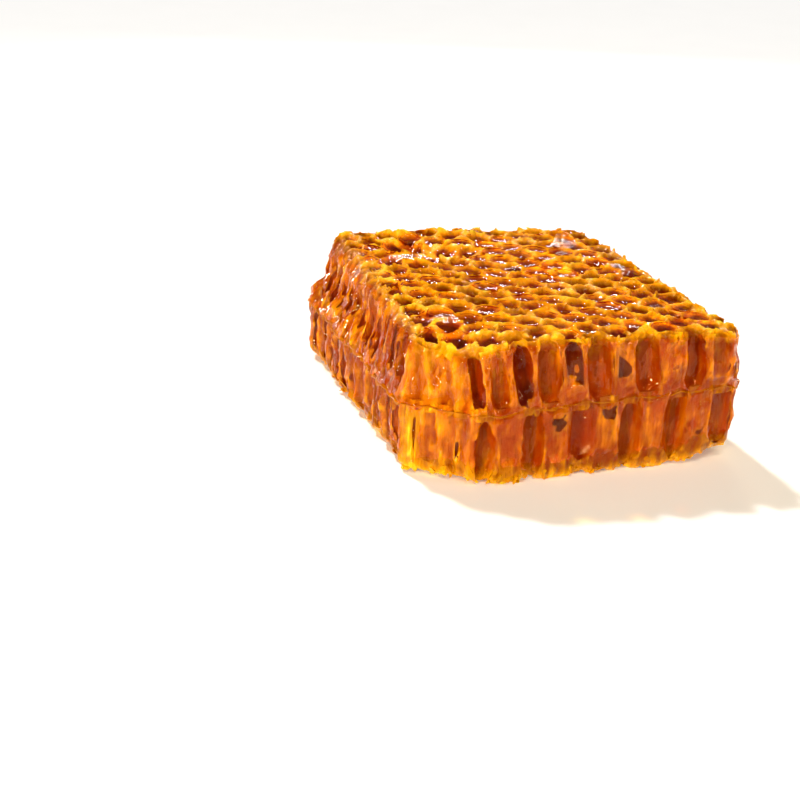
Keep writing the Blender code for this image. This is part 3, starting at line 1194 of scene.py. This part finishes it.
def at_humps(plan, specs):
    return np.max([hump(plan, spec) for spec in specs], axis=0)


print(len(CRUSHED), "crushed places")


# %% Denting the rims
LIP_REACH = 3.2  # how far below the rims the wax is dented, in mm


def dented(points, rings, centres, side):
    """The lattice's rims thickened, dented and crushed, and its walls set astray."""
    outward = OUTWARD[side]
    below = np.clip(DEPTH[side] - np.abs(points[:, 2] - MIDRIB_HEIGHT), 0, None)
    near_rim = np.clip(1 - below / LIP_REACH, 0, 1)
    on_lip = np.clip(1 - np.abs(below - 0.6) / 1.2, 0, 1) * (rings > 0)
    inwards = centres - points[:, :2]
    inwards /= np.linalg.norm(inwards, axis=1, keepdims=True) + 1e-9
    crush = at_humps(points[:, :2], CRUSHED)
    swelling = noise_at(points, 1.5, 2.0) * 0.4 + noise_at(points, 0.7, 4.0) * 0.25
    swelling += cell_noise(centres, 2.0) * 0.3 + crush * 0.45
    moved = points.copy()
    moved[:, :2] += inwards * (swelling * on_lip)[:, None]
    bend = drift(points, 3.0, 14.0) * (0.6 + 1.1 * crush)[:, None]
    bend += drift(points, 1.1, 31.0) * (0.35 + 0.35 * crush)[:, None]
    moved[:, :2] += bend[:, :2] * near_rim[:, None]
    lumps = bend[:, 2] * 0.7 + noise_at(points, 2.1, 9.0) * (0.4 + 0.6 * crush) - 0.5 * crush
    lumps += noise_at(points, 0.8, 19.0) * 0.25
    moved[:, 2] += outward * lumps * near_rim
    moved[:, :2] += stray(points[:, :2])
    moved[:, 0] += lean_at(points[:, 2])
    return moved


print("rims are dented down to", LIP_REACH, "mm")


# %% [markdown]
# ## Torn walls and dragged wax
# Walls that the knife passed are torn off a little behind the cut. A torn skin
# of dragged wax then joins them. It could be a plane with holes, but wax that
# the eye sees from its edge needs a thickness. So a block a little inside the
# cut is hollowed out by a smaller one, and where the smaller one stands proud
# of it the skin is torn open.


# %% The knife that tears
def torn_knife(side):
    """The cut's rows, torn in and out as wax tears under a blade."""
    low, high = (MIDRIB_HEIGHT - 3.0, THICKNESS + 3.0) if side == "upper" else (0.0, MIDRIB_HEIGHT + 3.0)
    heights, loops, normals = cut_rows(low, high)
    for row, height in enumerate(heights):
        share = min(abs(height - MIDRIB_HEIGHT) / DEPTH[side], 1)
        at = in_plan(loops[row], height)
        centres, _ = nearest_cell(loops[row], at[:, 2], side)
        room = room_behind(at, centres, normals[row], side)
        torn = noise_at(at, 1.7, 3.0) * (0.15 + 0.5 * share**3)
        torn += noise_at(at * (1, 1, 0.4), 4.5, 8.0) * 0.25 - 0.6 + 0.4 * ramp_of(-room, -1.6, -0.6)
        torn -= ramp_of(share, 0.88, 1.0) ** 2 * 0.3
        torn -= ramp_of(-normals[row][:, 0], 0.3, 0.6) * ramp_of(share, 0.75, 1.0) ** 2 * 1.3
        loops[row] += normals[row] * torn[:, None]
    return heights, loops


print("rows of the torn cut:", len(torn_knife("lower")[0]))


# %% The wax that it dragged
SKIN_THICKNESS = 0.45
LOOSE_EDGE = {"upper": 0.5, "lower": 1.3}  # how ragged its free edge is, in mm


def dragged_wax(name, side):
    """The wax that the knife dragged over the split cells: a thin torn skin round the block."""
    heights, loops, normals, split = split_sides[side]
    depth = split["depth"]
    thickness = np.clip(split["cover"] * 0.7, -0.6, SKIN_THICKNESS)
    rows = [np.full(loops.shape[1], height) for height in heights]
    loose = noise_at(in_plan(loops[-1 if side == "upper" else 0], 0.0), 1.9, 71.0)
    if side == "upper":
        fine = noise_at(in_plan(loops[-1], 9.0), 0.8, 73.0)
        arch = split["between"][-1, :, 0] * 1.1
        rows[-1] = rows[-1] - 0.9 + arch + loose * LOOSE_EDGE[side] + fine * 0.35
    else:
        rows[0] = np.clip(loose, 0, None) * LOOSE_EDGE[side]
        rows[1] = np.maximum(rows[1], rows[0] + 0.1)
        rows[2] = np.maximum(rows[2], rows[1] + 0.1)
    skin = block_of(name + "_skin", rows, loops - normals * depth)
    inner = list(heights)
    inner[0], inner[-1] = heights[0] - 2, heights[-1] + 2
    hollow = block_of(name + "_hollow", inner, loops - normals * (depth + thickness[..., 0, None]))
    combine(skin, "DIFFERENCE", hollow, wax_look)
    return skin


print("dragged wax is up to", SKIN_THICKNESS, "mm thick")


# %% [markdown]
# ## Pale and dark wax, with painted shade and light
# Thin rims and torn edges are dry and pale, and walls that stand in honey are
# dark. The walls deep in the cells are darkened further as painted shade, and
# some patches of the sides are made paler as painted light. Painting them by
# height alone would put a straight line round the block. So the number
# "fresh_and_lit", that the wax material reads, comes from how far a point is below
# the rim, how near it is to the cut, its torn edges and the painted lit patches,
# and noise.


# %% How fresh, shaded and lit each point of the wax is
# The rims are pale this far down; below it the walls darken, partly as wax soaked in honey and partly as
# painted shade deep in the cells.
PALE_RIM = {"upper": 0.9, "lower": 1.5}  # how far down the rims are pale, in mm
# Painted light: patches made paler where the lamps fall on the cut-off corner and the left side, and where
# light shines through the right end from behind.
PAINTED_LIGHT_PATCHES = [
    ((-22.0, -33.0), (16.0, 13.0), 0.0, 1.0),
    ((-34.0, 8.0), (14.0, 70.0), 0.0, 0.45),
    ((39.0, -24.0), (12.0, 18.0), 0.0, 0.6),
]


def nearest_on_cut(points, heights, loops):
    """How far each point is from the cut, and the row and column of the cut nearest to it."""
    rows = np.clip(np.searchsorted(heights, points[:, 2]), 0, len(heights) - 1)
    gaps, columns = np.empty(len(points)), np.empty(len(points), int)
    for row in np.unique(rows):
        here = rows == row
        apart = ((points[here, None, :2] - loops[row][None, ::2]) ** 2).sum(axis=2)
        gaps[here], columns[here] = np.sqrt(apart.min(axis=1)), apart.argmin(axis=1) * 2
    return gaps, rows, columns


def fresh_and_lit_tone(points, side):
    """From 0, soaked with honey and in painted shade deep in the cells, to 1, thin and dry, with painted
    light on lit patches.
    """
    below = np.clip(DEPTH[side] - np.abs(points[:, 2] - MIDRIB_HEIGHT), 0, None)
    heights, loops, _, split = split_sides[side]
    gaps, rows, columns = nearest_on_cut(points, heights, loops)
    torn_rim = np.exp(-((split["cover"][rows, columns, 0] / 0.3) ** 2)) + split["creases"][rows, columns, 0]
    at_cut = np.exp(-gaps / 0.9)
    # Pale at the rims and darker down the walls: soaked wax, and painted shade in the cells' depths.
    fresh_and_lit = 0.75 * np.exp(-((below / PALE_RIM[side]) ** 1.5)) + 0.05 * np.exp(-below / 4.0)
    # Paler near the cut: torn edges and creases are thin dry wax, and the listed patches are painted light.
    fresh_and_lit += at_cut * (0.02 + 0.4 * torn_rim + 0.9 * at_humps(points[:, :2], PAINTED_LIGHT_PATCHES))
    fresh_and_lit += at_humps(points[:, :2], CRUSHED) * np.exp(-below / 1.2) * 0.3
    fresh_and_lit += noise_at(points, 6.0, 5.0) * 0.15 + noise_at(points * (1, 1, 0.25), 1.1, 15.0) * 0.35
    return np.clip(fresh_and_lit, 0, 1)


print("a rim's freshness:", fresh_and_lit_tone(np.array([(0.0, 0.0, THICKNESS)]), "upper").round(2))


# %% [markdown]
# ## The two layers of wax
# Each layer is grown, dented, torn to the cut, joined with its dragged wax, and
# last of all settled into the uneven block. The order matters: the lattice has
# to be even while its cells are told apart. The layer stands for the packed
# solid of its cells, so it replaces that one, which is hidden.


# %% The upper cells
def wax_layer(name, side, steps):
    """One layer of the comb, cut, torn and settled."""
    cell = cell_shape(name + "_cell", side, steps, WAX_LIP + WAX_WALL, WAX_FOOT, WAX_BASE, 0.0)
    obj = lattice_of(name, side, cell, wax_look)
    rings = attribute_of(obj.data, "ring")
    centres = attribute_of(obj.data, "centre", 3)[:, :2] / MM
    set_points(obj.data, dented(points_of(obj.data), rings, centres, side))
    heights, loops = torn_knife(side)
    combine(obj, "INTERSECT", block_of(name + "_knife", heights, loops), wax_look)
    combine(obj, "UNION", dragged_wax(name, side), wax_look)
    points = points_of(obj.data)
    # Tone of each point: the wax's own paleness, with painted shade deep in the cells and painted light on
    # lit sides.
    add_attribute(obj.data, "fresh_and_lit", "FLOAT", "POINT", fresh_and_lit_tone(points, side))
    set_points(obj.data, settled(points))
    smooth(obj.data, 50)
    return obj


upper_wax = wax_layer("upper_wax", "upper", FINE)
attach(upper_wax, "root")
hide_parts("upper_cells")
print("upper wax:", len(upper_wax.data.polygons), "faces")


# %% The lower cells
lower_wax = wax_layer("lower_wax", "lower", PLAIN)
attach(lower_wax, "root")
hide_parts("lower_cells")
print("lower wax:", len(lower_wax.data.polygons), "faces")


# %% [markdown]
# ## The midrib
# The sheet that both layers stand on is folded into rhombs, but along a cut the
# blade draws it flat, and it shows as one wavy line round the block. It is the
# base of the same cell, grown on the same lattice, and drawn flat towards the
# cut. It stands out a little from the layers, because it is tougher than they are.


# %% The midrib
def midrib_sheet():
    cell = cell_shape("midrib_cell", "upper", PLAIN, [], [(0.0, 0.0, 0.0)], 0.25, -0.25)
    obj = lattice_of("midrib_wax", "upper", cell, midrib_look)
    points = points_of(obj.data)
    points[:, :2] += stray(points[:, :2])
    points[:, 0] += lean_at(points[:, 2])
    heights, loops, normals = cut_rows(MIDRIB_HEIGHT - 3.0, MIDRIB_HEIGHT + 3.0)
    gaps, _, _ = nearest_on_cut(points, heights, loops)
    drawn_flat = np.exp(-((gaps / 2.5) ** 2)) * 0.75
    points[:, 2] += (MIDRIB_HEIGHT - points[:, 2]) * drawn_flat + noise_at(points, 4.0, 27.0) * 0.6
    set_points(obj.data, points)
    for row, height in enumerate(heights):
        frayed = 0.2 + noise_at(in_plan(loops[row], height), 1.2, 3.0) * 0.5
        loops[row] += normals[row] * frayed[:, None]
    combine(obj, "INTERSECT", block_of("midrib_knife", heights, loops), midrib_look)
    points = points_of(obj.data)
    add_attribute(obj.data, "fresh_and_lit", "FLOAT", "POINT", np.full(len(points), 0.35))
    set_points(obj.data, settled(points))
    smooth(obj.data, 50)
    return obj


midrib_wax = midrib_sheet()
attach(midrib_wax, "root")
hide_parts("midrib")
print("midrib:", len(midrib_wax.data.polygons), "faces")


# %% [markdown]
# ## How the honey stands
# In open cells honey curls up the walls, and each cell is filled to its own
# level. Where the comb was crushed it has welled up over the rims, and a few
# cells have drained. Four hundred small bodies could be made, but walls that
# are sunk in one body leave no air between honey and wax. So the honey of a
# layer is one lattice of surfaces, closed beneath.


# %% Levels of the honey
# Places where honey stands over the rims: middle, reach, turn and height.
FLOODED = [
    ((16.5, 24.0), (6.0, 9.0), 0.0, 1.7),
    ((-17.5, -22.0), (6.0, 8.0), 0.0, 1.8),
    ((-18.5, 15.5), (9.0, 5.5), 0.0, 2.1),
    ((-13.0, 22.5), (11.0, 6.0), -20.0, 2.0),
    ((24.0, 6.0), (5.0, 9.0), 10.0, 1.5),
    ((2.0, 8.0), (8.0, 4.0), 30.0, 1.3),
]
# Middles and reaches of the places where the cells have drained.
DRAINED_ABOVE = [((13.5, -1.5), (4.6, 6.0)), ((-9.0, -10.5), (3.9, 3.9)), ((-0.6, -28.0), (2.4, 2.4))]
DRAINED_BY = 1.6
SLUMP = 3.2  # radius of the honey's shoulder over a split cell


def honey_levels(points, rings, centres, side):
    """The honey lattice with each cell's own level, flooded patches and a rounded edge."""
    outward = OUTWARD[side]
    moved = points.copy()
    moved[:, :2] += stray(points[:, :2])
    moved[:, 0] += lean_at(points[:, 2])
    plan = moved[:, :2]
    level = cell_noise(centres, 1.0) * 0.35
    if side == "upper":
        for (x, y), (reach_x, reach_y) in DRAINED_ABOVE:
            drained = np.hypot((centres[:, 0] - 1.6 - x) / reach_x, (centres[:, 1] - y) / reach_y) < 1
            level[drained] -= DRAINED_BY
    rim_loop = outline(THICKNESS if side == "upper" else 0.0)
    gaps = np.linalg.norm(plan[:, None] - rim_loop[None, ::2], axis=2).min(axis=1)
    gap = np.clip(gaps - 1.2, 0, SLUMP)
    level -= SLUMP - np.sqrt(np.clip(SLUMP**2 - (SLUMP - gap) ** 2, 0, None))
    height = np.abs(points[:, 2] - MIDRIB_HEIGHT) - DEPTH[side]
    skin = rings <= len(HONEY_SKIN)
    flood = at_humps(plan, FLOODED) - 1.35 if side == "upper" else np.full(len(plan), -9.0)
    raised = np.maximum(height + level, np.minimum(flood, 0.1))
    height = np.where(skin, raised, height)
    sunk = np.where(skin, height + DEPTH[side], (points[:, 2] - MIDRIB_HEIGHT) * outward)
    moved[:, 2] = MIDRIB_HEIGHT + outward * sunk
    return moved


print(len(FLOODED), "flooded places and", len(DRAINED_ABOVE), "drained ones")


# %% [markdown]
# ## Honey down the sides
# From the split cells honey has run until its own stickiness held it. It glazes
# the dragged wax with a thin film, and in the torn windows it is sunk between
# the walls. The same grid of the cut is moved in by the depth of the wax and out
# again by the film, so the honey follows every crease.


# %% The glazed side
def glazed_side(side):
    """The rows of the honey's side: a film over the dragged wax, sunk where the cells show."""
    heights, loops, normals, split = split_sides[side]
    at = split["at"].reshape(-1, 3)
    shape = loops.shape[:2]
    waves = noise_at(at * (1, 1, 0.4), 1.3, 41.0) * 0.16
    film = 0.22 + noise_at(at, 4.0, 51.0) * 0.16
    share, own = split["share"][..., 0], split["own"][..., 0]

    run_out = 1.3 + (1.0 if side == "upper" else 0.3) * share + own * 0.5
    run_out = np.minimum(run_out, split["room"][..., 0] - 0.5)
    sunk = ramp_of(-split["cover"][..., 0], -0.1, 1.1)
    sunk = sunk * sunk * (3 - 2 * sunk)
    depth = split["depth"][..., 0] + np.clip(run_out, 0.1, 3) * sunk
    if side == "upper":
        raised = ramp_of(share, 0.0, 0.15)
        depth = depth * raised + 0.1 * (1 - raised)
    depth += (waves - film).reshape(shape)
    return heights, loops - normals * depth[..., None]


print("columns of the glazed side:", glazed_side("lower")[1].shape[1])


# %% Honey of the upper cells
def honey_layer(name, side):
    skin = [(inset, roundness, below + HONEY_BELOW_RIM) for inset, roundness, below in HONEY_SKIN]
    cell = cell_shape(name + "_cell", side, PLAIN, skin, [], 0.0, 0.12)
    obj = lattice_of(name, side, cell, honey_look)
    rings = attribute_of(obj.data, "ring")
    centres = attribute_of(obj.data, "centre", 3)[:, :2] / MM
    set_points(obj.data, honey_levels(points_of(obj.data), rings, centres, side))
    heights, loops = glazed_side(side)
    heights = np.r_[heights[0] - 2, heights[1:-1], heights[-1] + 2] if side == "upper" else heights
    combine(obj, "INTERSECT", block_of(name + "_knife", heights, loops), honey_look)
    set_points(obj.data, settled(points_of(obj.data)))
    smooth(obj.data, 80)
    return obj


upper_honey = honey_layer("upper_honey", "upper")
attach(upper_honey, "root")
print("upper honey:", len(upper_honey.data.polygons), "faces")


# %% Honey of the lower cells
lower_honey = honey_layer("lower_honey", "lower")
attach(lower_honey, "root")
print("lower honey:", len(lower_honey.data.polygons), "faces")


# %% [markdown]
# ## Crumbs, flakes and beads
# Cutting and scraping leave crumbs of wax on the rims, flakes along the foot and
# small beads of honey. They could be placed by hand, but there are hundreds, so
# a node tree scatters one low lump over the wax with a fixed seed. An attribute
# of the wax says where crumbs lie thick.


# %% Spots and lumps
LUMP_POINTS = 42  # of an icosphere divided twice


def scattered_spots(tree, given):
    """Random points on the ground, thick where its crumbly attribute is high."""
    ground = add_node(tree, "GeometryNodeObjectInfo", {"Object": given["Ground"]})
    crumbly = add_node(tree, "GeometryNodeInputNamedAttribute", {"Name": "crumbly"}, data_type="FLOAT")
    density = add_node(
        tree,
        "ShaderNodeMath",
        {0: given["Count per m2"], 1: crumbly.outputs["Attribute"]},
        operation="MULTIPLY",
    )
    return add_node(
        tree,
        "GeometryNodeDistributePointsOnFaces",
        {"Mesh": ground.outputs["Geometry"], "Density": density.outputs["Value"], "Seed": given["Seed"]},
    ).outputs


def lumps_on(tree, given, spots):
    """A lump of random size at each spot, lying on the ground but tumbled a little."""
    lump = add_node(tree, "GeometryNodeMeshIcoSphere", {"Radius": 1.0, "Subdivisions": 2})
    size = add_node(
        tree,
        "FunctionNodeRandomValue",
        {"Min": given["Smallest"], "Max": given["Largest"], "Seed": given["Seed"]},
        data_type="FLOAT_VECTOR",
    )
    tumble = add_node(
        tree,
        "FunctionNodeRandomValue",
        {"Min": (-0.6, -0.6, 0.0), "Max": (0.6, 0.6, 6.28), "Seed": given["Seed"]},
        data_type="FLOAT_VECTOR",
    )
    turned = add_node(
        tree,
        "FunctionNodeRotateRotation",
        {"Rotation": spots["Rotation"], "Rotate By": tumble.outputs["Value"]},
        rotation_space="LOCAL",
    )
    copies = add_node(
        tree,
        "GeometryNodeInstanceOnPoints",
        {
            "Points": spots["Points"],
            "Instance": lump.outputs["Mesh"],
            "Rotation": turned.outputs["Rotation"],
            "Scale": size.outputs["Value"],
        },
    )
    real = add_node(tree, "GeometryNodeRealizeInstances", {"Geometry": copies.outputs["Instances"]})
    return real.outputs["Geometry"]


print("a lump has", LUMP_POINTS, "points")


# %% Roughening the lumps
def roughened(tree, given, lumps):
    """Lumps pushed out of round by noise, with dents of about half a millimetre."""
    place = add_node(tree, "GeometryNodeInputPosition")
    rough = add_node(
        tree, "ShaderNodeTexNoise", {"Vector": place.outputs["Position"], "Scale": 1800.0, "Detail": 1.0}
    )
    centred = add_node(
        tree, "ShaderNodeVectorMath", {0: rough.outputs["Color"], 1: (0.5, 0.5, 0.5)}, operation="SUBTRACT"
    )
    push = add_node(
        tree,
        "ShaderNodeVectorMath",
        {0: centred.outputs["Vector"], "Scale": given["Lumpiness"]},
        operation="SCALE",
    )
    moved = add_node(
        tree, "GeometryNodeSetPosition", {"Geometry": lumps, "Offset": push.outputs["Vector"]}
    )
    return moved.outputs["Geometry"]


def scatter_tree():
    """Puts rough lumps on a surface, where its attribute allows."""
    tree = new_tree("scattered lumps")
    add_input(tree, "Ground", "NodeSocketObject")
    add_input(tree, "Count per m2", "NodeSocketFloat", 1e5)
    add_input(tree, "Smallest", "NodeSocketVector")
    add_input(tree, "Largest", "NodeSocketVector")
    add_input(tree, "Lumpiness", "NodeSocketFloat", 0.0)
    add_input(tree, "Seed", "NodeSocketInt", 1)
    add_input(tree, "Material", "NodeSocketMaterial")
    given = add_node(tree, "NodeGroupInput").outputs
    lumps = lumps_on(tree, given, scattered_spots(tree, given))
    end_tree(tree, roughened(tree, given, lumps), given["Material"])
    return tree


scattered_lumps = scatter_tree()
print("the scattering tree has", len(scattered_lumps.nodes), "nodes")


# %% Where crumbs lie
def mark_crumbly(obj, side):
    """How likely each point of the wax is to hold a crumb."""
    points = points_of(obj.data)
    height = points[:, 2]
    if side == "upper":
        share = ramp_of(height, 22.5, 25.5) * (0.35 + at_humps(points[:, :2], CRUSHED))
    else:
        share = ramp_of(-height, -2.2, -0.5) * (0.3 + ramp_of(-points[:, 1], 20, 26))
    share *= np.clip(noise_at(points, 5.0, 91.0) * 2 + 0.8, 0, 1)
    add_attribute(obj.data, "crumbly", "FLOAT", "POINT", np.clip(share, 0, 1))


mark_crumbly(upper_wax, "upper")
mark_crumbly(lower_wax, "lower")
print("crumbly share of the top:", attribute_of(upper_wax.data, "crumbly").mean().round(3))


# %% Crumbs, flakes and beads
# Smallest and largest length, width and height, in millimetres.
CRUMB_SIZES = ((0.25, 0.2, 0.12), (0.75, 0.55, 0.35))
FLAKE_SIZES = ((0.5, 0.3, 0.08), (1.3, 0.8, 0.22))
BEAD_SIZES = ((0.25, 0.25, 0.2), (0.6, 0.6, 0.4))


def scattered(name, ground, per_mm2, smallest, largest, lumpiness, seed, look):
    values = {
        "Ground": ground,
        "Count per m2": per_mm2 / MM**2,
        "Smallest": tuple(size * MM for size in smallest),
        "Largest": tuple(size * MM for size in largest),
        "Lumpiness": lumpiness * MM,
        "Seed": seed,
        "Material": look,
    }
    obj = grown(name, scattered_lumps, values)
    lumps = points_of(obj.data).reshape(-1, LUMP_POINTS, 3)
    lowest = lumps[..., 2].min(axis=1, keepdims=True)
    lumps[..., 2] += np.clip(-lowest, 0, None)
    set_points(obj.data, lumps.reshape(-1, 3))
    smooth(obj.data, 60)
    add_attribute(obj.data, "fresh_and_lit", "FLOAT", "POINT", np.full(len(obj.data.vertices), 0.75))
    print(name, len(lumps), "lumps,", len(obj.data.polygons), "faces")
    return obj


crumbs = [
    scattered("wax_crumbs", upper_wax, 0.45, *CRUMB_SIZES, 0.5, 4, wax_look),
    scattered("wax_flakes", lower_wax, 0.5, *FLAKE_SIZES, 0.7, 7, wax_look),
    scattered("honey_beads", upper_wax, 0.03, *BEAD_SIZES, 0.1, 9, honey_look),
]
for piece in crumbs:
    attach(piece, "root")
print("scattered pieces:", [piece.name for piece in crumbs])
